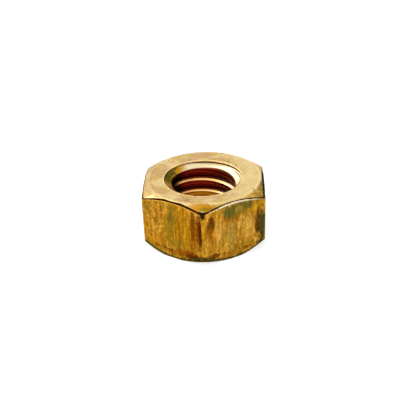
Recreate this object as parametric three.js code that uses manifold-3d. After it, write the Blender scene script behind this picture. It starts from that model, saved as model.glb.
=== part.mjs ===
// A brass hexagon nut, tapped with a right-hand unified inch thread of 5/16 in, 18 threads to the inch.
// Millimetres, +Z up. The origin is the hexagon's centre on the lower bearing face. One corner of the
// hexagon points along -Y, so two of the six flats face +X and -X.

import * as THREE from 'three';
import { mergeVertices } from 'three/addons/utils/BufferGeometryUtils.js';
import Module from 'manifold-3d';

// Driving dimensions of the body.
const INCH = 25.4;
const ACROSS_FLATS = INCH / 2;
const HEIGHT = 6.7;
const CORNERS = 6;

// Each end is turned to a cone, which leaves a round bearing face and takes the corners off.
const TOP_CHAMFER = { faceDiameter: 11.94, degrees: 30 };
const BOTTOM_CHAMFER = { faceDiameter: 12.6, degrees: 47 };

// Driving dimensions of the tapped hole.
const PITCH = INCH / 18;
const MAJOR_DIAMETER = (INCH * 5) / 16;
const MINOR_DIAMETER = 6.7;
const FLANK_DEGREES = 30;
const ROOT_FLAT = PITCH / 8;
const COUNTERSINK = { diameter: 8.1, degrees: 54 };

// The drill wandered a little, so the hole's axis stands beside the hexagon's.
const HOLE_SHIFT = new THREE.Vector2(-0.1, -0.3);

// Height of the thread groove's middle where one of its turns crosses the +X side of the hole.
const GROOVE_HEIGHT = 3.45;

// How finely round shapes are divided, and how far a cutting tool runs past what it cuts.
const DIVISIONS_PER_TURN = 72;
const OVERRUN = 1;

const wasm = await Module();
wasm.setup();

const tan = (degrees) => Math.tan(THREE.MathUtils.degToRad(degrees));

// A closed geometry as a solid: only positions are kept, and vertices in one place are made one.
function solidOf(geometry) {
  const bare = geometry.clone();
  bare.deleteAttribute('normal');
  bare.deleteAttribute('uv');
  const merged = mergeVertices(bare, 1e-5);
  return new wasm.Manifold(
    new wasm.Mesh({
      numProp: 3,
      vertProperties: merged.attributes.position.array,
      triVerts: new Uint32Array(merged.index.array),
    }),
  );
}

// The solid's surface as a flat-shaded geometry, ready for a mesh.
function geometryOf(solid) {
  const { vertProperties, triVerts } = solid.getMesh();
  const indexed = new THREE.BufferGeometry();
  indexed.setAttribute('position', new THREE.BufferAttribute(vertProperties, 3));
  indexed.setIndex(new THREE.BufferAttribute(triVerts, 1));
  const flat = indexed.toNonIndexed();
  flat.computeVertexNormals();
  return flat;
}

// A shape turned about the Z axis. Each profile point is a radius and a height.
function turned(profile) {
  const points = profile.map(([radius, height]) => new THREE.Vector2(radius, height));
  const geometry = new THREE.LatheGeometry(points, DIVISIONS_PER_TURN);
  return solidOf(geometry.rotateX(Math.PI / 2));
}

// The hexagonal bar that the nut is parted from.
function hexagonBar() {
  const cornerRadius = ACROSS_FLATS / 2 / Math.cos(Math.PI / CORNERS);
  const outline = new THREE.Shape();
  for (let corner = 0; corner < CORNERS; corner++) {
    const angle = (corner / CORNERS) * 2 * Math.PI - Math.PI / 2;
    outline[corner ? 'lineTo' : 'moveTo'](
      cornerRadius * Math.cos(angle),
      cornerRadius * Math.sin(angle),
    );
  }
  outline.closePath();
  return solidOf(new THREE.ExtrudeGeometry(outline, { depth: HEIGHT, bevelEnabled: false }));
}

// The round envelope of the two chamfers. Its waist is wider than the hexagon's corners.
function chamferEnvelope() {
  const waist = ACROSS_FLATS / 2 + OVERRUN * 2;
  const top = TOP_CHAMFER.faceDiameter / 2;
  const bottom = BOTTOM_CHAMFER.faceDiameter / 2;
  return turned([
    [0, 0],
    [bottom, 0],
    [waist, (waist - bottom) * tan(BOTTOM_CHAMFER.degrees)],
    [waist, HEIGHT - (waist - top) * tan(TOP_CHAMFER.degrees)],
    [top, HEIGHT],
    [0, HEIGHT],
  ]);
}

// The drill and both countersinks as one cutting shape about the hole's axis.
function drill() {
  const bore = MINOR_DIAMETER / 2;
  const depth = (COUNTERSINK.diameter / 2 - bore) / tan(COUNTERSINK.degrees);
  const mouth = COUNTERSINK.diameter / 2 + OVERRUN * tan(COUNTERSINK.degrees);
  return turned([
    [0, -OVERRUN],
    [mouth, -OVERRUN],
    [bore, depth],
    [bore, HEIGHT - depth],
    [mouth, HEIGHT + OVERRUN],
    [0, HEIGHT + OVERRUN],
  ]);
}

// The tap's cut: the section of one groove, extruded straight in many steps and then wound down a
// helix from above the top face to below the bottom one. Its section is a radius and a height.
function tap() {
  const bore = MINOR_DIAMETER / 2;
  const root = MAJOR_DIAMETER / 2;
  const mouth = ROOT_FLAT / 2 + (root - bore) * tan(FLANK_DEGREES);
  const section = new THREE.Shape([
    new THREE.Vector2(bore - OVERRUN, -mouth),
    new THREE.Vector2(bore, -mouth),
    new THREE.Vector2(root, -ROOT_FLAT / 2),
    new THREE.Vector2(root, ROOT_FLAT / 2),
    new THREE.Vector2(bore, mouth),
    new THREE.Vector2(bore - OVERRUN, mouth),
  ]);

  const turnsAbove = Math.ceil((HEIGHT + mouth - GROOVE_HEIGHT) / PITCH);
  const turnsBelow = Math.ceil((GROOVE_HEIGHT + mouth) / PITCH);
  const turns = turnsAbove + turnsBelow;
  const geometry = new THREE.ExtrudeGeometry(section, {
    depth: turns,
    steps: turns * DIVISIONS_PER_TURN,
    bevelEnabled: false,
  });

  const start = GROOVE_HEIGHT + turnsAbove * PITCH;
  const position = geometry.attributes.position;
  for (let i = 0; i < position.count; i++) {
    const radius = position.getX(i);
    const turn = position.getZ(i);
    const angle = -turn * 2 * Math.PI;
    const height = start + position.getY(i) - turn * PITCH;
    position.setXYZ(i, radius * Math.cos(angle), radius * Math.sin(angle), height);
  }
  return solidOf(geometry);
}

function hexNut() {
  const blank = hexagonBar().intersect(chamferEnvelope());
  const hole = drill().add(tap()).translate([HOLE_SHIFT.x, HOLE_SHIFT.y, 0]);
  const brass = new THREE.MeshStandardMaterial({ color: 0xc0914a, roughness: 0.38, metalness: 1 });
  const nut = new THREE.Mesh(geometryOf(blank.subtract(hole)), brass);
  nut.name = 'hex_nut';
  return nut;
}

const group = new THREE.Group();
group.add(hexNut());

export default group;
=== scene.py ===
"""A brass hex nut, 5/16 in with 18 threads per inch, on a pale floor in soft studio light.

The nut is one closed skin: a grid whose columns go round the nut and whose rows go round its
section, up a flat, over the chamfer and the top face, down the threaded hole and back underneath.
Lengths are in millimetres until the mesh is made. Directions round the nut are counted from +X
towards +Y, and one corner of the hexagon points along -Y.
"""

import math

import bpy
import numpy as np
from mathutils import Matrix, Vector, noise


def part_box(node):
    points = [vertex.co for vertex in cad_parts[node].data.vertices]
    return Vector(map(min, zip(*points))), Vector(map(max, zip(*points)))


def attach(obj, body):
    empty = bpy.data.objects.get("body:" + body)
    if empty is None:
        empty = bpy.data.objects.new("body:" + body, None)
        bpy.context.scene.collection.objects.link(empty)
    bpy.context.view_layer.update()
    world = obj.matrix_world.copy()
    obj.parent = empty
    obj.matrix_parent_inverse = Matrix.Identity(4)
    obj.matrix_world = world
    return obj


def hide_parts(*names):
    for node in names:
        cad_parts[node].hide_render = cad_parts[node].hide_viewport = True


MM = 0.001
INCH = 25.4
NODE = "hex_nut"
SEED = 518

# The nut's section. The circles that bound its end faces are a little off centre. The crown is the
# rounded edge between the top face and the top chamfer. CROWN_ROOM keeps the groove off it.
CORNERS = 6
CORNER_ROUND = 0.16
TOP_CHAMFER = {"face_radius": 6.09, "degrees": 30, "shift": (-0.07, 0.12)}
BOTTOM_CHAMFER = {"face_radius": 6.34, "degrees": 47, "shift": (-0.06, 0.0)}
CROWN_ROUND = 0.3
CROWN_ROOM = 0.09
FOOT_ROUND = 0.05

# The burr that the chamfering tool rolled over each flat's top edge, and the groove behind it.
# Shares are one to a flat, the +X one first. Notches are one to a corner, first the one at 30
# degrees. LEAST_SHARE is how small both get where the chamfer has little room for them. RAGGED
# makes their heights wander round the nut, in waves of so many to a turn.
BURR = {"width": 0.09, "height": 0.03, "lift": 0.01, "outer_round": 0.02, "inner_round": 0.015}
BURR_SHARES = (0.6, 1.0, 1.0, 0.4, 0.7, 1.8)
GROOVE = {"width": 0.16, "depth": 0.12, "round": 0.03}
GROOVE_SHARES = (1.2, 1.0, 0.9, 0.1, 1.6, 0.5)
CORNER_NOTCHES = (0.3, 0.5, 0.4, 0.0, 1.15, 0.0)
NOTCH_SPREAD = math.radians(3)
SHARE_SHARPNESS = 24
LEAST_SHARE = 0.1
RAGGED = {"waves": (5, 13, 29, 47), "amount": 0.3}

# The threaded hole. GROOVE_HEIGHT is where the middle of one turn of the thread's groove crosses
# the +X side. The upper rim's centre is moved towards +Y, and the straight lip under that rim is
# deepest in the direction of its degrees.
HOLE_SHIFT = (-0.1, -0.3)
PITCH = INCH / 18
MAJOR_RADIUS = INCH * 5 / 16 / 2
MINOR_RADIUS = 6.7 / 2
FLANK_SLOPE = math.tan(math.radians(30))
ROOT_FLAT = PITCH / 8
GROOVE_HEIGHT = 3.45
ROOT_ROUND = 0.07
CREST_ROUND = 0.26
MOUTH_RADIUS = 4.13
MOUTH_SHIFT = 0.09
MOUTH_CENTRE = (HOLE_SHIFT[0], HOLE_SHIFT[1] + MOUTH_SHIFT)
COUNTERSINK_DEPTH = 0.46
SINK_ROUND = 0.08
LIP = {"least": 0.03, "depth": 0.2, "degrees": 72, "sharpness": 3.5}
RIM_ROUND = 0.06

# The grid. Columns crowd together at the hexagon's corners, and the bore's rows near its ends.
COLUMNS = 336
CORNER_CROWDING = 0.9
BORE_CROWDING = 0.05
ROWS = {
    "arc": 5,
    "small_arc": 3,
    "groove": 4,
    "rim": 4,
    "flat": 22,
    "chamfer": 6,
    "face": 9,
    "lip": 3,
    "bore": 187,
}

# Wear: nicks pressed inwards, and by a share of their depth downwards, and a slow waviness
NICK = {"count": 46, "reach": (0.12, 0.4), "depth": (0.06, 0.16), "down": 0.6}
WAVINESS = {"scale": 0.7, "depth": 0.006}


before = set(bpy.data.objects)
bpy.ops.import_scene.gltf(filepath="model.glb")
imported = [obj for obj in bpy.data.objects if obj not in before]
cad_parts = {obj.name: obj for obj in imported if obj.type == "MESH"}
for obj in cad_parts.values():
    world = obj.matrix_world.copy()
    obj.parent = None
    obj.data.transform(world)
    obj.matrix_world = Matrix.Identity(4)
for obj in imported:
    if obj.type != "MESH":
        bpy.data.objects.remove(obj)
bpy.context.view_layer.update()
low, high = (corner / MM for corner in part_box(NODE))
HEIGHT = high.z - low.z
APOTHEM = (high.x - low.x) / 2
CORNER_RADIUS = (APOTHEM - CORNER_ROUND) / math.cos(math.pi / CORNERS) + CORNER_ROUND


# ---------------------------------------------------------------- shape


def straight(start, end, count):
    """Rows strictly between start and end, closer together near both ends."""
    share = (1 - np.cos(np.linspace(0, np.pi, count + 2)[1:-1])) / 2
    return start + (end - start) * share[:, None, None]


def arc(corner, before, after, radius, count):
    """Rows round a corner, from its side towards before to its side towards after."""
    back = (before - corner) / np.linalg.norm(before - corner, axis=-1, keepdims=True)
    on = (after - corner) / np.linalg.norm(after - corner, axis=-1, keepdims=True)
    half = np.arccos(np.sum(back * on, axis=-1, keepdims=True)) / 2
    middle = (back + on) / np.linalg.norm(back + on, axis=-1, keepdims=True)
    centre = corner + middle * radius / np.sin(half)
    first = corner + back * radius / np.tan(half) - centre
    last = corner + on * radius / np.tan(half) - centre
    sweep = np.pi - 2 * half
    share = np.linspace(0, 1, count)[:, None, None]
    swept = first * np.sin((1 - share) * sweep) + last * np.sin(share * sweep)
    return centre + swept / np.sin(sweep)


def section(radius, height):
    """Points of the (radius, height) plane, one to a column or one for them all."""
    radius, height = np.broadcast_arrays(radius, height)
    return np.stack([radius, height], axis=-1).astype(float)


def swing(rows, angle, axis=(0, 0)):
    """Takes (radius, height) rows out to each column's angle about an upright axis."""
    radius, height = rows[..., 0], rows[..., 1]
    across = axis[0] + radius * np.cos(angle)
    along = axis[1] + radius * np.sin(angle)
    return np.stack(np.broadcast_arrays(across, along, height), axis=-1)


def slope(degrees):
    return math.tan(math.radians(degrees))


def off_corner(angle):
    """Signed angle to the nearest corner of the hexagon. One corner points along -Y."""
    step = 2 * np.pi / CORNERS
    return (angle + np.pi / 2 + step / 2) % step - step / 2


def hexagon_radius(angle):
    """Distance from the axis to the hexagon, whose corners are rounded."""
    turn = np.abs(off_corner(angle))
    half_step = np.pi / CORNERS
    flat = APOTHEM / np.cos(half_step - turn)
    centre = (APOTHEM - CORNER_ROUND) / math.cos(half_step)
    reach = np.clip(CORNER_ROUND**2 - (centre * np.sin(turn)) ** 2, 0, None)
    rounded = centre * np.cos(turn) + np.sqrt(reach)
    contact = half_step - math.atan((APOTHEM - CORNER_ROUND) * math.tan(half_step) / APOTHEM)
    return np.where(turn < contact, rounded, flat)


def face_edge(angle, chamfer):
    """Distance from the axis to the edge of an end face, whose circle is a little off centre."""
    across, along = chamfer["shift"]
    return chamfer["face_radius"] + across * np.cos(angle) + along * np.sin(angle)


def wobble(angle, waves, random):
    """A smooth value from -1 to 1 that wanders round the nut and closes on itself."""
    phases = random.uniform(0, 2 * np.pi, len(waves))
    return sum(np.sin(n * angle + p) for n, p in zip(waves, phases)) / len(waves)


def round_nut(angle, start, values):
    """Six values a sixth of a turn apart, the first at the start angle, blended in between."""
    step = 2 * np.pi / CORNERS
    weights = [np.cos((angle - start - i * step) / 2) ** SHARE_SHARPNESS for i in range(CORNERS)]
    return sum(w * v for w, v in zip(weights, values)) / sum(weights)


def soft_max(first, second, blend):
    """The larger of two values, rounded where they cross."""
    near = np.clip(blend - np.abs(first - second), 0, None)
    return np.maximum(first, second) + near**2 / (4 * blend)


def thread_radius(angle, height):
    """Distance from the hole's axis to the threaded wall."""
    middle = GROOVE_HEIGHT + PITCH * angle / (2 * np.pi)
    off_groove = np.abs((height - middle + PITCH / 2) % PITCH - PITCH / 2)
    flank = MAJOR_RADIUS - (off_groove - ROOT_FLAT / 2) / FLANK_SLOPE
    cut = -soft_max(-flank, np.full_like(flank, -MAJOR_RADIUS), ROOT_ROUND)
    return soft_max(cut, np.full_like(cut, MINOR_RADIUS), CREST_ROUND)


def lip_depth(angle):
    """How far below the top face the hole's wall turns from the straight lip to the countersink."""
    facing = (1 + np.cos(angle - math.radians(LIP["degrees"]))) / 2
    return RIM_ROUND + LIP["least"] + LIP["depth"] * facing ** LIP["sharpness"]


def mouth_radius(angle):
    """Distance from the hole's axis to its upper rim, which stands a little towards +Y."""
    return MOUTH_RADIUS + MOUTH_SHIFT * np.sin(angle)


def bore_radius(angle, height):
    """Distance from the hole's axis to its wall, with both countersinks."""
    lip = lip_depth(angle)
    mouth = mouth_radius(angle)
    from_lip = np.clip(HEIGHT - lip - height, 0, None)
    top = mouth - from_lip * (mouth - MINOR_RADIUS) / (COUNTERSINK_DEPTH - lip)
    bottom = MOUTH_RADIUS - height * (MOUTH_RADIUS - MINOR_RADIUS) / COUNTERSINK_DEPTH
    wall = np.where(from_lip > 0, soft_max(thread_radius(angle, height), top, SINK_ROUND), top)
    return soft_max(wall, bottom, SINK_ROUND)


def tool_marks(angle, room, random):
    """Sizes of the burr and the groove in each column, smaller where there is little room."""
    ragged = 1 + RAGGED["amount"] * wobble(angle, RAGGED["waves"], random)
    notches = round_nut(angle, np.pi / CORNERS, CORNER_NOTCHES)
    notch = 1 + notches * np.exp(-((off_corner(angle) / NOTCH_SPREAD) ** 2))
    groove_share = notch * round_nut(angle, 0, GROOVE_SHARES)
    burr_share = round_nut(angle, 0, BURR_SHARES)
    fit = room / (BURR["width"] * burr_share + GROOVE["width"] * groove_share)
    fit = np.clip(fit, LEAST_SHARE, 1)
    return {
        "burr_width": BURR["width"] * burr_share * fit,
        "burr_height": BURR["height"] * burr_share * fit * ragged,
        "burr_lift": BURR["lift"] * fit,
        "groove_width": GROOVE["width"] * groove_share * fit,
        "groove_depth": GROOVE["depth"] * groove_share * fit * ragged,
        "rounds": (fit * np.minimum(groove_share, 1))[:, None],
    }


def outer_rows(angle, random):
    """Rows from the bottom face's edge up the flat and over the burr to the top face's edge."""
    side = hexagon_radius(angle)
    top_edge = face_edge(angle, TOP_CHAMFER)
    top_slope = slope(TOP_CHAMFER["degrees"])
    bottom_edge = np.minimum(face_edge(angle, BOTTOM_CHAMFER), side - FOOT_ROUND)
    marks = tool_marks(angle, side - top_edge - CROWN_ROOM, random)
    burr_radius = side - marks["burr_width"]
    bank_radius = burr_radius - marks["groove_width"]
    valley_radius = (burr_radius + bank_radius) / 2
    shoulder, over_valley, bank_height = (
        HEIGHT - (radius - top_edge) * top_slope for radius in (side, valley_radius, bank_radius)
    )

    face_in = section(APOTHEM / 2, 0)
    face_out = section(bottom_edge, 0)
    flat_foot = section(side, (side - bottom_edge) * slope(BOTTOM_CHAMFER["degrees"]))
    burr_out = section(side, shoulder - marks["burr_height"])
    burr_in = section(burr_radius, shoulder + marks["burr_lift"])
    valley = section(valley_radius, over_valley - marks["groove_depth"])
    bank = section(bank_radius, bank_height)
    crown = section(top_edge, HEIGHT)
    crown_in = section(APOTHEM / 2, HEIGHT)

    few = ROWS["small_arc"]
    rounds = marks["rounds"]
    foot_face = arc(face_out, face_in, flat_foot, FOOT_ROUND / 2, few)
    foot_flat = arc(flat_foot, face_out, burr_out, FOOT_ROUND, ROWS["arc"])
    burr_low = arc(burr_out, flat_foot, burr_in, BURR["outer_round"] * rounds, few)
    burr_high = arc(burr_in, burr_out, valley, BURR["inner_round"] * rounds, few)
    groove = arc(valley, burr_in, bank, GROOVE["round"] * rounds, ROWS["groove"])
    bank_arc = arc(bank, valley, crown, GROOVE["round"] * rounds, few)
    crown_arc = arc(crown, bank, crown_in, CROWN_ROUND, ROWS["arc"])
    return [
        ("foot", foot_face),
        ("foot", straight(foot_face[-1], foot_flat[0], ROWS["chamfer"])),
        ("foot", foot_flat),
        ("flat", straight(foot_flat[-1], burr_low[0], ROWS["flat"])),
        ("burr", burr_low),
        ("burr", burr_high),
        ("groove", groove),
        ("chamfer", bank_arc),
        ("chamfer", straight(bank_arc[-1], crown_arc[0], ROWS["chamfer"])),
        ("chamfer", crown_arc),
    ]


def hole_rows(angle):
    """Rows round the upper rim, down the bore and round the lower rim."""
    mouth = mouth_radius(angle)
    rim = section(mouth, HEIGHT)
    rim_rows = arc(rim, section(APOTHEM, HEIGHT), section(mouth, 0), RIM_ROUND, ROWS["rim"])
    low_rim = section(MOUTH_RADIUS, 0)
    sink_end = section(MINOR_RADIUS, COUNTERSINK_DEPTH)
    low_rim_rows = arc(low_rim, sink_end, section(APOTHEM, 0), RIM_ROUND, ROWS["rim"])

    lip_end = HEIGHT - lip_depth(angle)
    share = np.linspace(0, 1, ROWS["lip"] + 1)[1:, None]
    on_lip = HEIGHT - RIM_ROUND + share * (lip_end - HEIGHT + RIM_ROUND)
    share = np.linspace(0, 1, ROWS["bore"] + 2)[1:-1]
    share = (share - BORE_CROWDING * np.sin(2 * np.pi * share))[:, None]
    below = lip_end + share * (RIM_ROUND - lip_end)
    height = np.concatenate([on_lip, below])
    return rim_rows, section(bore_radius(angle, height), height), low_rim_rows


def nut_grid(random):
    """The whole skin as rows of (x, y, z), and the name of each row's zone."""
    angle = np.arange(COLUMNS) * 2 * np.pi / COLUMNS
    outer_angle = angle - CORNER_CROWDING * np.sin(CORNERS * off_corner(angle)) / CORNERS
    outer = [(zone, swing(rows, outer_angle)) for zone, rows in outer_rows(outer_angle, random)]
    rim, bore, low_rim = [swing(rows, angle, HOLE_SHIFT) for rows in hole_rows(angle)]
    crown_end, foot_start = outer[-1][1][-1], outer[0][1][0]
    parts = outer + [
        ("top_face", straight(crown_end, rim[0], ROWS["face"])),
        ("top_face", rim),
        ("bore", bore),
        ("bottom_face", low_rim),
        ("bottom_face", straight(low_rim[-1], foot_start, ROWS["face"])),
    ]
    zones = [zone for zone, rows in parts for _ in rows]
    return np.concatenate([rows for _, rows in parts]), zones


def grid_normals(grid):
    """Outward unit normals of the grid's points."""
    along = np.roll(grid, -1, axis=1) - np.roll(grid, 1, axis=1)
    up = np.roll(grid, -1, axis=0) - np.roll(grid, 1, axis=0)
    normals = np.cross(along, up)
    return normals / np.linalg.norm(normals, axis=-1, keepdims=True)


def nicks(grid, zones, random):
    """How far each point is pressed in by nicks in the grooves and the top chamfer."""
    edge_rows = [i for i, zone in enumerate(zones) if zone in ("groove", "chamfer")]
    push = np.zeros(grid.shape[:2])
    for _ in range(NICK["count"]):
        centre = grid[random.choice(edge_rows), random.integers(COLUMNS)]
        reach = random.uniform(*NICK["reach"])
        depth = reach * random.uniform(*NICK["depth"])
        distance = np.linalg.norm(grid - centre, axis=-1) / reach
        push += depth * np.clip(1 - distance**2, 0, None) ** 2
    return push


def worn(grid, zones, random):
    """The grid with small nicks in its outer edges and a slow waviness of its outside."""
    outside = np.array([zone in ("flat", "burr", "groove", "chamfer", "foot") for zone in zones])
    push = nicks(grid, zones, random)
    push[~outside] = 0
    sag = np.zeros(grid.shape[:2])
    for row in np.flatnonzero(outside):
        for column in range(COLUMNS):
            place = Vector(grid[row, column]) * WAVINESS["scale"]
            sag[row, column] = WAVINESS["depth"] * (noise.noise(place) + 1)
    outward = grid * (1, 1, 0)
    outward /= np.linalg.norm(outward, axis=-1, keepdims=True)
    outward[..., 2] = NICK["down"]
    return grid - outward * push[..., None] - grid_normals(grid) * sag[..., None]


def skin(name, grid, zones, materials):
    """The closed mesh object of the grid, with one material for each zone."""
    rows, columns = grid.shape[:2]
    row, column = np.meshgrid(np.arange(rows), np.arange(columns), indexing="ij")
    next_row, next_column = (row + 1) % rows, (column + 1) % columns
    corners = [(row, column), (row, next_column), (next_row, next_column), (next_row, column)]
    faces = np.stack([i * columns + j for i, j in corners], axis=-1).reshape(-1, 4)
    mesh = bpy.data.meshes.new(name)
    mesh.from_pydata((grid.reshape(-1, 3) * MM).tolist(), [], faces.tolist())
    names = list(materials)
    for material in materials.values():
        mesh.materials.append(material)
    slots = np.repeat([names.index(zone) for zone in zones], columns)
    mesh.polygons.foreach_set("material_index", slots.astype(np.int32))
    mesh.polygons.foreach_set("use_smooth", np.ones(len(faces), bool))
    mesh.update()
    made = bpy.data.objects.new(name, mesh)
    bpy.context.scene.collection.objects.link(made)
    return made


# ---------------------------------------------------------------- materials


class Shading:
    """One material's nodes. Each method adds nodes and returns the socket of their result."""

    def __init__(self, name):
        self.material = bpy.data.materials.new(name)
        self.material.use_nodes = True
        self.tree = self.material.node_tree
        self.shader = self.tree.nodes["Principled BSDF"]
        self.shader.inputs["Metallic"].default_value = 1
        place = self.add("TexCoord", {}, "Object")
        self.place = self.add("VectorMath", {0: place, "Scale": 1 / MM}, operation="SCALE")
        self.normal = self.add("TexCoord", {}, "Normal")

    def link(self, value, socket):
        """Links a socket to an input, or sets the input to a plain value."""
        if isinstance(value, bpy.types.NodeSocket):
            self.tree.links.new(value, socket)
        else:
            socket.default_value = value

    def add(self, kind, inputs, output=0, **settings):
        node = self.tree.nodes.new("ShaderNode" + kind)
        for key, value in settings.items():
            setattr(node, key, value)
        for key, value in inputs.items():
            self.link(value, node.inputs[key])
        return node.outputs[output]

    def feed(self, name, value):
        """Gives a value to one of the shader's own inputs."""
        self.link(value, self.shader.inputs[name])

    def noise(self, scale, detail=3, rough=0.6, stretch=(1, 1, 1), output=0):
        vector = self.add("VectorMath", {0: self.place, 1: stretch}, operation="MULTIPLY")
        inputs = {"Vector": vector, "Scale": scale, "Detail": detail, "Roughness": rough}
        return self.add("TexNoise", inputs, output)

    def noise_along(self, value, scale):
        inputs = {"W": value, "Scale": scale, "Detail": 3}
        return self.add("TexNoise", inputs, noise_dimensions="1D")

    def ranged(self, value, start, end, low=0, high=1):
        """Goes smoothly from low to high as the value goes from start to end."""
        inputs = {0: value, 1: start, 2: end, 3: low, 4: high}
        return self.add("MapRange", inputs, interpolation_type="SMOOTHSTEP")

    def times(self, first, second):
        return self.add("Math", {0: first, 1: second}, operation="MULTIPLY")

    def plus(self, first, second):
        return self.add("Math", {0: first, 1: second}, operation="ADD")

    def larger(self, first, second):
        return self.add("Math", {0: first, 1: second}, operation="MAXIMUM")

    def scaled(self, colour, factor):
        return self.add("VectorMath", {0: colour, "Scale": factor}, operation="SCALE")

    def along(self, axis, vector=None):
        return self.add("SeparateXYZ", {0: vector or self.place}, axis)

    def distance(self, centre=(0, 0)):
        """Distance from the upright axis through centre."""
        offset = self.add("VectorMath", {0: self.place, 1: (*centre, 0)}, operation="SUBTRACT")
        level = self.add("VectorMath", {0: offset, 1: (1, 1, 0)}, operation="MULTIPLY")
        return self.add("VectorMath", {0: level}, 1, operation="LENGTH")

    def hexagon_reach(self):
        """How far out the place is, measured square to the nearest flat."""
        reach = None
        for side in range(CORNERS):
            out = 2 * math.pi * side / CORNERS
            inputs = {0: self.place, 1: (math.cos(out), math.sin(out), 0)}
            dot = self.add("VectorMath", inputs, "Value", operation="DOT_PRODUCT")
            reach = self.larger(reach, dot) if reach else dot
        return reach

    def blend(self, factor, below, above):
        inputs = {0: factor, 6: below, 7: above}
        return self.add("Mix", inputs, 2, data_type="RGBA")

    def ragged_place(self, amount, scale):
        """The place, pushed about by noise, so that a patch gets an uneven edge."""
        shift = self.noise(scale, detail=4, rough=0.7, output=1)
        centred = self.add("VectorMath", {0: shift, 1: (0.5, 0.5, 0.5)}, operation="SUBTRACT")
        scaled = self.add("VectorMath", {0: centred, "Scale": amount}, operation="SCALE")
        return self.add("VectorMath", {0: self.place, 1: scaled})

    def patch(self, place, centre, reach, ragged=0.0):
        """1 inside an ellipsoid round centre, falling to 0 near its surface, with a ragged edge."""
        offset = self.add("VectorMath", {0: place, 1: centre}, operation="SUBTRACT")
        inverse = [1 / r for r in reach]
        scaled = self.add("VectorMath", {0: offset, 1: inverse}, operation="MULTIPLY")
        distance = self.add("VectorMath", {0: scaled}, 1, operation="LENGTH")
        return self.ranged(self.plus(distance, ragged), 1.1, 0.4)

    def bump(self, *layers):
        """Bump from (height socket, depth in millimetres) layers, one over the other."""
        normal = None
        for height, depth in layers:
            inputs = {"Height": height, "Distance": depth * MM, "Strength": 1}
            if normal:
                inputs["Normal"] = normal
            normal = self.add("Bump", inputs)
        self.feed("Normal", normal)


GOLD = (0.41, 0.19, 0.012, 1)
PALE_GOLD = (0.58, 0.32, 0.055, 1)
BRIGHT_GOLD = (0.5, 0.24, 0.008, 1)
DEEP_GOLD = (0.26, 0.11, 0.004, 1)
OLIVE = (0.24, 0.14, 0.007, 1)
OLIVE_GOLD = (0.36, 0.22, 0.03, 1)
GREEN = (0.12, 0.095, 0.014, 1)
DARK_GREEN = (0.045, 0.045, 0.008, 1)
ORANGE = (0.5, 0.19, 0.006, 1)
RUST = (0.3, 0.09, 0.003, 1)
BROWN = (0.13, 0.04, 0.002, 1)
RED_BROWN = (0.12, 0.025, 0.003, 1)
MAROON = (0.25, 0.016, 0.008, 1)
# Near black for soot stains, and for painted shade in the groove and the hole
SOOT_AND_SHADE = (0.02, 0.007, 0.001, 1)
AMBER = (0.33, 0.14, 0.002, 1)
COPPER = (0.42, 0.15, 0.003, 1)
HONEY = (0.74, 0.37, 0.06, 1)
DUSK = (0.34, 0.23, 0.09, 1)
GREY_GREEN = (0.36, 0.34, 0.17, 1)
TAN = (0.54, 0.35, 0.12, 1)
PINK = (0.63, 0.37, 0.17, 1)
STRAW = (0.56, 0.4, 0.1, 1)
PALE_STRAW = (0.74, 0.57, 0.26, 1)
CREAM = (0.8, 0.68, 0.42, 1)
# Pale brass of worn edges, also used as a painted highlight
WEAR_AND_HIGHLIGHT = (0.84, 0.6, 0.27, 1)

# Tints of the glancing reflections
WARM_GLANCE = (0.9, 0.7, 0.4, 1)
COPPER_GLANCE = (0.9, 0.6, 0.45, 1)
GREEN_GLANCE = (0.3, 0.25, 0.1, 1)
RED_GLANCE = (0.3, 0.15, 0.1, 1)

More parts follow.
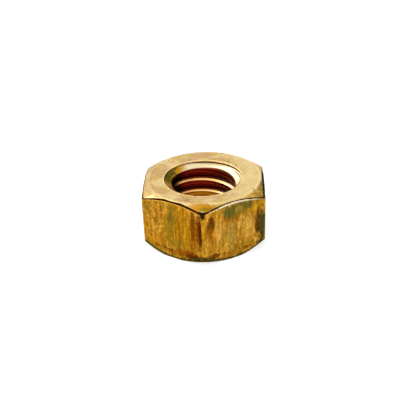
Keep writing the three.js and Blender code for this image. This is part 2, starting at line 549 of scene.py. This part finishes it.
# Stains of the two front flats: colour, strength, the way the flat faces in degrees, place along
# the flat, height, half width and half height
STAINS = (
    (AMBER, 0.75, -120, 1.1, 3.6, 2.0, 3.6),
    (OLIVE, 0.85, -120, -0.3, 3.9, 0.8, 2.0),
    (GREEN, 0.6, -120, 0.0, 4.9, 0.35, 1.2),
    (OLIVE, 0.8, -120, 0.1, 5.9, 0.5, 0.3),
    (OLIVE, 0.7, -120, 0.5, 1.9, 1.2, 0.9),
    (BRIGHT_GOLD, 0.9, -120, 1.6, 3.0, 0.24, 1.9),
    (RUST, 0.85, -120, 2.75, 3.9, 0.75, 2.5),
    (BROWN, 0.75, -120, 2.5, 4.3, 0.3, 1.9),
    (RED_BROWN, 0.95, -120, 3.22, 4.1, 0.32, 2.2),
    (SOOT_AND_SHADE, 0.7, -120, 3.32, 3.9, 0.17, 2.1),
    # The next row darkens the flats just under the front corner's tip
    (SOOT_AND_SHADE, 0.95, -120, 3.62, 5.9, 0.4, 0.36),
    (RUST, 0.75, -120, 0.1, 0.8, 1.5, 0.25),
    (RUST, 0.95, -120, 1.7, 0.95, 1.8, 0.55),
    (RED_BROWN, 0.95, -120, 2.4, 0.85, 1.2, 0.55),
    (SOOT_AND_SHADE, 0.6, -120, 2.6, 0.82, 0.95, 0.24),
    (BROWN, 0.95, -120, -2.0, 1.1, 0.45, 0.2),
    (BROWN, 0.8, -120, -1.05, 1.1, 0.26, 0.2),
    (BROWN, 0.8, -120, -0.35, 1.0, 0.4, 0.2),
    (ORANGE, 0.5, -120, -2.2, 1.7, 0.9, 0.8),
    (BROWN, 0.95, -60, -2.75, 4.7, 0.5, 1.15),
    (RUST, 0.8, -60, -2.9, 3.4, 0.35, 1.1),
    (PALE_GOLD, 0.8, -60, -1.8, 3.9, 0.55, 1.4),
    (ORANGE, 0.9, -60, -1.7, 5.45, 0.5, 0.36),
    (RUST, 0.85, -60, -0.2, 4.85, 1.4, 0.6),
    (OLIVE, 0.9, -60, 0.7, 5.6, 1.9, 0.9),
    (GREEN, 0.95, -60, -0.4, 5.65, 1.35, 0.95),
    (GREEN, 0.9, -60, 1.1, 5.95, 1.5, 0.75),
    (OLIVE_GOLD, 0.6, -60, 0.5, 5.7, 0.6, 0.5),
    (OLIVE_GOLD, 0.75, -60, -0.45, 2.9, 1.0, 1.9),
    (PALE_GOLD, 0.6, -60, 1.6, 3.2, 0.8, 1.7),
    (BRIGHT_GOLD, 0.9, -60, 2.85, 5.2, 0.75, 0.8),
    (RED_BROWN, 0.9, -60, 2.75, 3.6, 0.4, 1.9),
    (DARK_GREEN, 0.95, -60, 3.25, 3.2, 0.62, 2.5),
    (BROWN, 0.95, -60, -2.4, 0.95, 0.85, 0.36),
    (BROWN, 0.7, -60, -1.2, 0.95, 0.3, 0.2),
    (BROWN, 0.8, -60, 1.4, 0.9, 0.38, 0.2),
    (DARK_GREEN, 0.8, -60, 3.1, 1.0, 0.6, 0.4),
)
MORE_STAINS = (OLIVE, GREEN, RUST, BROWN, PALE_GOLD, AMBER, ORANGE, RED_BROWN, DARK_GREEN)

# Where dirt has settled in nicks of the top face: place, reach and darkness
DIRTY_NICKS = (
    ((3.41, 2.66), 0.17, 0.9),
    ((1.86, 5.75), 0.2, 0.7),
    ((2.6, 3.5), 0.3, 0.3),
    ((-1.57, -5.16), 0.4, 0.3),
    ((-4.6, 2.9), 0.25, 0.3),
)

# Stains of the top chamfer by the front corner, the last a painted highlight: colour, place and
# half sizes
CORNER_STAINS_AND_HIGHLIGHT = (
    (GOLD, (0, -6.35, 6.4), (1.7, 0.7, 0.7)),
    (OLIVE, (0.3, -6.5, 6.3), (0.9, 0.25, 0.4)),
    # Painted highlight just above the corner's notch
    (GREY_GREEN, (-0.1, -6.9, 6.2), (0.7, 0.22, 0.4)),
)

# The stretch of Y in which the top edge of the +X flat turns from painted shade to dusty
DARK_SIDE_END = (0.8, 1.8)

# Heights between which the thread's crests start to be rubbed, and the whole thread to be clean
CREST_TOP = (5.4, 5.15)
CLEAN_TOP = (3.5, 3.2)


def on_flat(degrees, along, height):
    """A point of the flat that faces that way, along to the right as seen from outside."""
    out = math.radians(degrees)
    x = APOTHEM * math.cos(out) - along * math.sin(out)
    y = APOTHEM * math.sin(out) + along * math.cos(out)
    return (x, y, height)


def stains_of_the_rest(random):
    """Stains in the same colours for the four flats that STAINS leaves out."""
    stains = []
    for degrees in (0, 60, 120, 180):
        for colour in random.permutation(MORE_STAINS):
            along = random.uniform(-3, 3)
            height = random.choice((0.9, 3, 4, 5.4)) + random.uniform(-0.3, 0.3)
            half_width = random.uniform(0.25, 0.9)
            half_height = random.uniform(0.7, 2.4)
            strength = random.uniform(0.5, 0.85)
            stains.append((colour, strength, degrees, along, height, half_width, half_height))
    return stains


def stained(s, colour, tone, random):
    """The colour with the stains of all six flats over it, their edges ragged with the tone."""
    ragged = s.plus(s.times(tone, 2.2), -1.15)
    stains = (*STAINS, *stains_of_the_rest(random))
    for stain, strength, degrees, along, height, half_width, half_height in stains:
        reach = (half_width, half_width, half_height)
        mask = s.patch(s.place, on_flat(degrees, along, height), reach, ragged)
        colour = s.blend(s.times(mask, strength), colour, stain)
    return colour


def drawn_brass(random):
    """The flats: cold-drawn bar with upright streaks, mottled tarnish and water stains."""
    s = Shading("drawn_brass")
    streaks = s.noise(2.6, detail=4, rough=0.6, stretch=(1, 1, 0.2))
    mottle = s.noise(2.8, detail=6, rough=0.75, stretch=(1, 1, 0.85))
    grain = s.noise(9, detail=3, rough=0.7, stretch=(1, 1, 0.8))
    clouds = s.noise(0.8, detail=4, rough=0.6, stretch=(1, 1, 0.6))
    lines = s.noise(5.5, detail=3, rough=0.6, stretch=(1, 1, 0.13))
    tone = s.plus(s.times(streaks, 0.4), s.times(mottle, 0.6))
    colour = s.blend(s.ranged(tone, 0.36, 0.52), DEEP_GOLD, GOLD)
    colour = s.blend(s.ranged(tone, 0.47, 0.66), colour, PALE_GOLD)
    colour = s.blend(s.ranged(clouds, 0.52, 0.66, 0, 0.6), colour, ORANGE)
    colour = s.blend(s.ranged(clouds, 0.48, 0.36, 0, 0.7), colour, OLIVE)
    edge = s.ranged(s.distance(), CORNER_RADIUS - 0.113, CORNER_RADIUS - 0.043, 0, 0.8)
    colour = stained(s, s.blend(edge, colour, BRIGHT_GOLD), tone, random)

    # Painted shade: the flats turn dark green just above the bottom chamfer
    beyond_foot = s.plus(s.distance(), -BOTTOM_CHAMFER["face_radius"])
    below_flat = s.times(beyond_foot, -slope(BOTTOM_CHAMFER["degrees"]))
    over_foot = s.plus(s.plus(s.along("Z"), below_flat), s.times(mottle, 0.5))
    colour = s.blend(s.ranged(over_foot, 0.62, 0.42, 0, 0.9), colour, DARK_GREEN)
    colour = s.scaled(colour, s.ranged(lines, 0.36, 0.62, 0.78, 1.18))
    colour = s.scaled(colour, s.ranged(tone, 0.36, 0.64, 0.74, 1.16))
    s.feed("Base Color", s.scaled(colour, s.ranged(grain, 0.34, 0.66, 0.7, 1.26)))
    s.feed("Roughness", s.ranged(mottle, 0.3, 0.7, 0.32, 0.48))
    s.feed("Specular Tint", WARM_GLANCE)
    s.bump((streaks, 0.01), (mottle, 0.012))
    return s.material


def pitted(s, colour, grain):
    """The colour of an end face with dark pits, and with dirt in the nicks of the top face."""
    pits = s.add("TexVoronoi", {"Vector": s.place, "Scale": 0.75}, "Distance")
    colour = s.blend(s.ranged(pits, 0.1, 0.05, 0, 0.8), colour, BROWN)
    ragged = s.plus(s.times(grain, 1.6), -0.8)
    for place, reach, strength in DIRTY_NICKS:
        mask = s.patch(s.place, (*place, HEIGHT), (reach, reach, 1), ragged)
        colour = s.blend(s.times(mask, strength), colour, BROWN)
    return colour


def faced_brass(name):
    """The end faces: machined, dull and pale, with faint turning rings and small pits."""
    s = Shading(name)
    clouds = s.noise(0.45, detail=3, rough=0.6)
    mottle = s.noise(1.3, detail=6, rough=0.72)
    grain = s.noise(6, detail=4, rough=0.7)
    rings = s.noise_along(s.distance(), 4)
    colour = s.blend(s.ranged(mottle, 0.44, 0.55), PINK, STRAW)
    colour = s.blend(s.ranged(clouds, 0.46, 0.6, 0, 0.8), colour, PALE_STRAW)
    colour = s.blend(s.ranged(clouds, 0.48, 0.38, 0, 0.7), colour, TAN)
    colour = s.scaled(colour, s.ranged(rings, 0.3, 0.7, 0.93, 1.06))
    colour = s.scaled(colour, s.ranged(grain, 0.36, 0.64, 0.86, 1.08))

    # Painted highlight and wear: a pale ring round the hole's upper rim
    rim = s.ranged(s.distance(MOUTH_CENTRE), MOUTH_RADIUS + 0.22, MOUTH_RADIUS + 0.12, 0, 0.85)
    colour = s.blend(rim, colour, WEAR_AND_HIGHLIGHT)
    pale_side = s.ranged(s.plus(s.along("X"), s.times(mottle, 4)), 3.6, 6.8, 0, 0.75)
    colour = s.blend(pale_side, colour, PALE_STRAW)
    colour = s.scaled(colour, s.ranged(mottle, 0.42, 0.6, 0.93, 1.04))
    # Painted highlight and wear: pale along the crown
    edge = TOP_CHAMFER["face_radius"]
    crown = s.ranged(s.distance(), edge - 0.34, edge - 0.09)
    colour = s.blend(s.times(crown, s.ranged(grain, 0.44, 0.56, 0, 0.8)), colour, WEAR_AND_HIGHLIGHT)
    s.feed("Base Color", pitted(s, colour, grain))
    s.feed("Roughness", s.ranged(grain, 0.3, 0.7, 0.4, 0.56))
    s.bump((rings, 0.006), (mottle, 0.012), (grain, 0.01))
    return s.material


def dark_side(s, across, far, near):
    """Painted shade: 1 within near of the +X flat, 0 beyond far from it and 0 along its dusty
    stretch.
    """
    shade = s.ranged(across, APOTHEM - far, APOTHEM - near)
    return s.times(shade, s.ranged(s.along("Y"), *reversed(DARK_SIDE_END)))


def chamfer_brass():
    """The top chamfer: dull by the crown, pale along the groove, golden on one side of the nut."""
    s = Shading("chamfer_brass")
    x = s.along("X")
    mottle = s.noise(2.6, detail=5, rough=0.72)
    across = s.plus(x, s.times(mottle, 2.5))
    rough_place = s.ragged_place(0.6, 2.4)
    # Painted highlight: pale along the groove at the front, and over the front left corner
    near_groove = s.ranged(s.hexagon_reach(), APOTHEM - 0.36, APOTHEM - 0.27)
    near_groove = s.times(near_groove, s.ranged(s.along("Y"), -3.4, -3.9))
    by_corner = s.patch(rough_place, (-5.7, -4.0, 6.4), (1.0, 0.55, 0.9))
    dull = s.blend(s.ranged(mottle, 0.42, 0.62, 0, 0.7), DUSK, TAN)
    dull = s.blend(s.larger(near_groove, by_corner), dull, PALE_STRAW)
    gold = s.blend(s.ranged(mottle, 0.42, 0.56), OLIVE_GOLD, PALE_GOLD)
    gold = s.blend(s.ranged(mottle, 0.54, 0.64), gold, STRAW)
    colour = s.blend(s.ranged(across, 0.6, 2.6), dull, gold)

    edge = TOP_CHAMFER["face_radius"]
    # Painted highlight along the crown, strongest towards +X
    crown = s.ranged(s.distance(), edge + 0.2, edge - 0.09, 0, 0.8)
    colour = s.blend(s.times(crown, s.ranged(across, 0.6, 2.6, 0.6, 1)), colour, PALE_STRAW)
    for stain, place, reach in CORNER_STAINS_AND_HIGHLIGHT:
        colour = s.blend(s.patch(rough_place, place, reach), colour, stain)
    colour = s.scaled(colour, s.ranged(x, 2.5, 5, 1, 1.3))
    shaded = dark_side(s, s.plus(x, s.times(mottle, 0.1)), 0.26, 0.13)
    s.feed("Base Color", s.blend(shaded, colour, DARK_GREEN))
    s.feed("Roughness", s.ranged(mottle, 0.3, 0.7, 0.3, 0.44))
    s.bump((mottle, 0.014))
    return s.material


def foot_brass():
    """The bottom chamfer, painted dark as shade, for the shadowed floor that it faces."""
    s = Shading("foot_brass")
    mottle = s.noise(3, detail=4)
    s.feed("Base Color", s.blend(s.ranged(mottle, 0.42, 0.62), DARK_GREEN, OLIVE))
    s.feed("Roughness", s.ranged(mottle, 0.3, 0.7, 0.4, 0.55))
    s.feed("Specular Tint", GREEN_GLANCE)
    s.bump((mottle, 0.01))
    return s.material


def burr_brass():
    """The burr at the top of each flat, with a painted highlight on one side of the nut."""
    s = Shading("burr_brass")
    x = s.along("X")
    mottle = s.noise(5, detail=4)
    across = s.plus(x, s.times(mottle, 1.5))
    # Painted highlight: the burr turns cream towards +X
    brightened = s.times(s.ranged(across, 1.2, 2.6), s.ranged(x, 5.9, 5.4, 0.2, 1))
    colour = s.blend(s.ranged(mottle, 0.42, 0.58), GOLD, PALE_GOLD)
    colour = s.blend(s.times(brightened, s.ranged(mottle, 0.4, 0.55, 0.6, 1)), colour, CREAM)
    # Painted shade by the +X flat
    colour = s.blend(dark_side(s, x, 0.2, 0.12), colour, DARK_GREEN)
    # Darker at the front corner, just under its tip
    dark_corner = s.patch(s.place, (0, -7.3, 5.85), (0.42, 0.6, 0.42))
    s.feed("Base Color", s.blend(dark_corner, colour, SOOT_AND_SHADE))
    s.feed("Roughness", s.ranged(mottle, 0.3, 0.7, 0.22, 0.36))
    s.bump((mottle, 0.01))
    return s.material


def groove_brass():
    """The bottom of the groove behind the burr, painted near black as the shade in it."""
    s = Shading("groove_brass")
    mottle = s.noise(4, detail=4)
    near_side = s.ranged(s.along("X"), APOTHEM - 0.6, APOTHEM - 0.4)
    dusty = s.times(near_side, s.ranged(s.along("Y"), *DARK_SIDE_END))
    colour = s.blend(s.ranged(mottle, 0.45, 0.75), SOOT_AND_SHADE, BROWN)
    s.feed("Base Color", s.blend(dusty, colour, TAN))
    s.feed("Roughness", s.ranged(mottle, 0.3, 0.7, 0.5, 0.7))
    s.feed("Specular Tint", RED_GLANCE)
    s.bump((mottle, 0.01))
    return s.material


def in_countersink(s):
    """1 in the upper countersink, and where the thread's topmost flank runs out into it."""
    x, y, height = (s.along(axis) for axis in "XYZ")
    sink_end = HEIGHT - COUNTERSINK_DEPTH
    in_cone = s.ranged(height, sink_end - 0.12, sink_end + 0.06)
    flank_height = ROOT_FLAT / 2 + (MAJOR_RADIUS - MINOR_RADIUS) * FLANK_SLOPE
    flank_end = GROOVE_HEIGHT + 2 * PITCH - flank_height
    rise = PITCH / 4 / MINOR_RADIUS
    unwound = s.plus(height, s.times(y, -rise))
    on_flank = s.ranged(unwound, flank_end + 0.02, flank_end + 0.1)
    return s.larger(in_cone, s.times(on_flank, s.ranged(x, -1.2, 0.2)))


def countersink_colour(s, grain):
    """Cream painted highlight, turning golden, then spotted green painted shade towards -X; tan
    towards -Y.
    """
    x = s.along("X")
    across = s.plus(x, s.times(grain, 1.2))
    colour = s.blend(s.ranged(across, -2.2, -1.1), BRIGHT_GOLD, CREAM)
    colour = s.blend(s.ranged(across, -2.4, -3.0), colour, GREEN)
    spots = s.ranged(s.noise(2.6, detail=3), 0.5, 0.6)
    colour = s.blend(s.times(spots, s.ranged(x, -2.6, -3.2, 0, 0.7)), colour, DARK_GREEN)
    return s.blend(s.ranged(s.plus(s.along("Y"), grain), 0.2, -0.9, 0, 0.45), colour, TAN)


def under_lip(s):
    """Painted shade on the straight lip under the upper rim: most at the back, and less towards -X.
    """
    on_lip = s.ranged(s.distance(MOUTH_CENTRE), MOUTH_RADIUS - 0.08, MOUTH_RADIUS - 0.03)
    on_lip = s.times(on_lip, s.ranged(s.along("Y"), 0.4, 1.8, 0, 0.9))
    return s.times(on_lip, s.ranged(s.along("X"), -2, -0.6, 0.3, 1))


def bore_brass():
    """The countersinks and thread: polished where a bolt rubs, tarnished in the grooves."""
    s = Shading("bore_brass")
    grain = s.noise(5, detail=4, rough=0.65)
    x, height = s.along("X"), s.along("Z")
    facing_up = s.along("Z", s.normal)
    in_sink = in_countersink(s)
    brightened = s.ranged(facing_up, 0.1, 0.35)
    brass = s.blend(s.ranged(grain, 0.35, 0.65), HONEY, PINK)
    brass = s.blend(s.ranged(x, 0.8, 2.8, 0, 0.6), brass, CREAM)
    brass = s.blend(brightened, COPPER, brass)
    brass = s.blend(in_sink, brass, countersink_colour(s, grain))

    radius = s.plus(s.distance(HOLE_SHIFT), s.times(grain, 0.1))
    reach = s.plus(radius, s.ranged(x, 0.5, 2.8, 0, -0.18))
    shallow = s.ranged(reach, MINOR_RADIUS + 0.48, MINOR_RADIUS + 0.28)
    on_crest = s.times(s.times(brightened, shallow), s.ranged(height, *CREST_TOP))
    clean = s.larger(on_crest, s.times(in_sink, s.ranged(facing_up, 0.45, 0.65)))
    clean = s.larger(clean, s.ranged(height, *CLEAN_TOP))
    dark = s.times(s.ranged(facing_up, 0.1, 0.45), s.ranged(x, 0.5, 2.3, 0.55, 0.95))
    colour = s.blend(clean, s.blend(dark, MAROON, SOOT_AND_SHADE), brass)

    # Painted shade: near black towards -X outside the countersink, and on the lip under the upper
    # rim
    ragged_x = s.plus(x, s.plus(s.times(grain, 0.5), s.times(on_crest, 0.5)))
    left_shade = s.times(s.ranged(ragged_x, -2.0, -2.7), s.ranged(in_sink, 0.6, 0.1))
    s.feed("Base Color", s.blend(s.larger(left_shade, under_lip(s)), colour, SOOT_AND_SHADE))
    s.feed("Roughness", s.ranged(clean, 0, 1, 0.34, 0.22))
    s.feed("Specular Tint", COPPER_GLANCE)
    s.bump((grain, 0.006))
    return s.material


# ---------------------------------------------------------------- studio

# Angles in degrees. The last three turn the camera from where it would see the nut in the middle.
CAMERA = {
    "azimuth": 2.42,
    "elevation": 29.05,
    "distance": 12 * APOTHEM,
    "lens": 60.25,
    "sensor": 36,
    "pan": -0.391,
    "tilt": -0.502,
    "roll": -1.84,
}
FLOOR = {"size": 3000, "grey": 0.4, "glow": 0.7, "roughness": 0.9}

# Brightness of the surroundings, and what is added to it within some degrees of a direction
SURROUNDINGS = 1.1
LOBES = (
    {"towards": (-0.8, 0.05, 0.6), "inner": 25, "outer": 60, "strength": 1.3},
    {"towards": (0.1, -0.5, 0.85), "inner": 10, "outer": 35, "strength": 0.5},
    {"towards": (0.75, 0.62, 0.2), "inner": 15, "outer": 38, "strength": -0.95},
)


def add_camera():
    """The camera looks at the nut's middle, then pans, tilts and rolls by small angles."""
    azimuth, elevation, pan, tilt, roll = (
        math.radians(CAMERA[name]) for name in ("azimuth", "elevation", "pan", "tilt", "roll")
    )
    level = Vector((math.sin(azimuth), -math.cos(azimuth), 0))
    back = level * math.cos(elevation) + Vector((0, 0, math.sin(elevation)))
    right = (-back).cross(Vector((0, 0, 1))).normalized()
    position = Vector((0, 0, HEIGHT / 2)) + back * CAMERA["distance"]
    aim = Matrix((right, back.cross(right), back)).transposed()
    for turn, axis in ((pan, "Y"), (tilt, "X"), (roll, "Z")):
        aim = aim @ Matrix.Rotation(turn, 3, axis)
    data = bpy.data.cameras.new("camera")
    data.lens = CAMERA["lens"]
    data.sensor_width = CAMERA["sensor"]
    data.clip_start = MM
    camera = bpy.data.objects.new("camera", data)
    camera.matrix_world = Matrix.Translation(position * MM) @ aim.to_4x4()
    bpy.context.scene.collection.objects.link(camera)
    bpy.context.scene.camera = camera


def add_floor():
    """A wide, dull floor. It glows white, which keeps the nut's shadow on it pale."""
    half = FLOOR["size"] / 2 * MM
    mesh = bpy.data.meshes.new("floor")
    corners = [(-half, -half, 0), (half, -half, 0), (half, half, 0), (-half, half, 0)]
    mesh.from_pydata(corners, [], [(0, 1, 2, 3)])
    material = bpy.data.materials.new("floor_white")
    material.use_nodes = True
    inputs = material.node_tree.nodes["Principled BSDF"].inputs
    inputs["Base Color"].default_value = (FLOOR["grey"], FLOOR["grey"], FLOOR["grey"], 1)
    inputs["Emission Color"].default_value = (1, 1, 1, 1)
    inputs["Emission Strength"].default_value = FLOOR["glow"]
    inputs["Roughness"].default_value = FLOOR["roughness"]
    inputs["Specular IOR Level"].default_value = 0
    mesh.materials.append(material)
    floor = bpy.data.objects.new("floor", mesh)
    bpy.context.scene.collection.objects.link(floor)


def add_studio_light():
    """White surroundings, brighter above the left side and the front and dark low on the right."""
    world = bpy.data.worlds.new("studio")
    bpy.context.scene.world = world
    world.use_nodes = True
    tree = world.node_tree
    background = tree.nodes["Background"]
    background.inputs["Color"].default_value = (1, 1, 1, 1)
    coordinates = tree.nodes.new("ShaderNodeTexCoord")
    total = None
    for lobe in LOBES:
        dot = tree.nodes.new("ShaderNodeVectorMath")
        dot.operation = "DOT_PRODUCT"
        dot.inputs[1].default_value = Vector(lobe["towards"]).normalized()
        tree.links.new(coordinates.outputs["Generated"], dot.inputs[0])
        glow = tree.nodes.new("ShaderNodeMapRange")
        glow.interpolation_type = "SMOOTHSTEP"
        glow.inputs["From Min"].default_value = math.cos(math.radians(lobe["outer"]))
        glow.inputs["From Max"].default_value = math.cos(math.radians(lobe["inner"]))
        glow.inputs["To Max"].default_value = lobe["strength"]
        tree.links.new(dot.outputs["Value"], glow.inputs["Value"])
        plus = tree.nodes.new("ShaderNodeMath")
        tree.links.new(glow.outputs["Result"], plus.inputs[0])
        if total:
            tree.links.new(total, plus.inputs[1])
        else:
            plus.inputs[1].default_value = SURROUNDINGS
        total = plus.outputs[0]
    tree.links.new(total, background.inputs["Strength"])


# ---------------------------------------------------------------- the whole

random = np.random.default_rng(SEED)
grid, zones = nut_grid(random)
grid = worn(grid, zones, random)
materials = {
    "flat": drawn_brass(random),
    "top_face": faced_brass("faced_brass_top"),
    "bottom_face": faced_brass("faced_brass_bottom"),
    "chamfer": chamfer_brass(),
    "foot": foot_brass(),
    "burr": burr_brass(),
    "groove": groove_brass(),
    "bore": bore_brass(),
}
nut = skin("nut_body", grid, zones, materials)
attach(nut, "root")
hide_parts(NODE)

add_floor()
add_studio_light()
add_camera()
bpy.context.scene.view_settings.view_transform = "Standard"
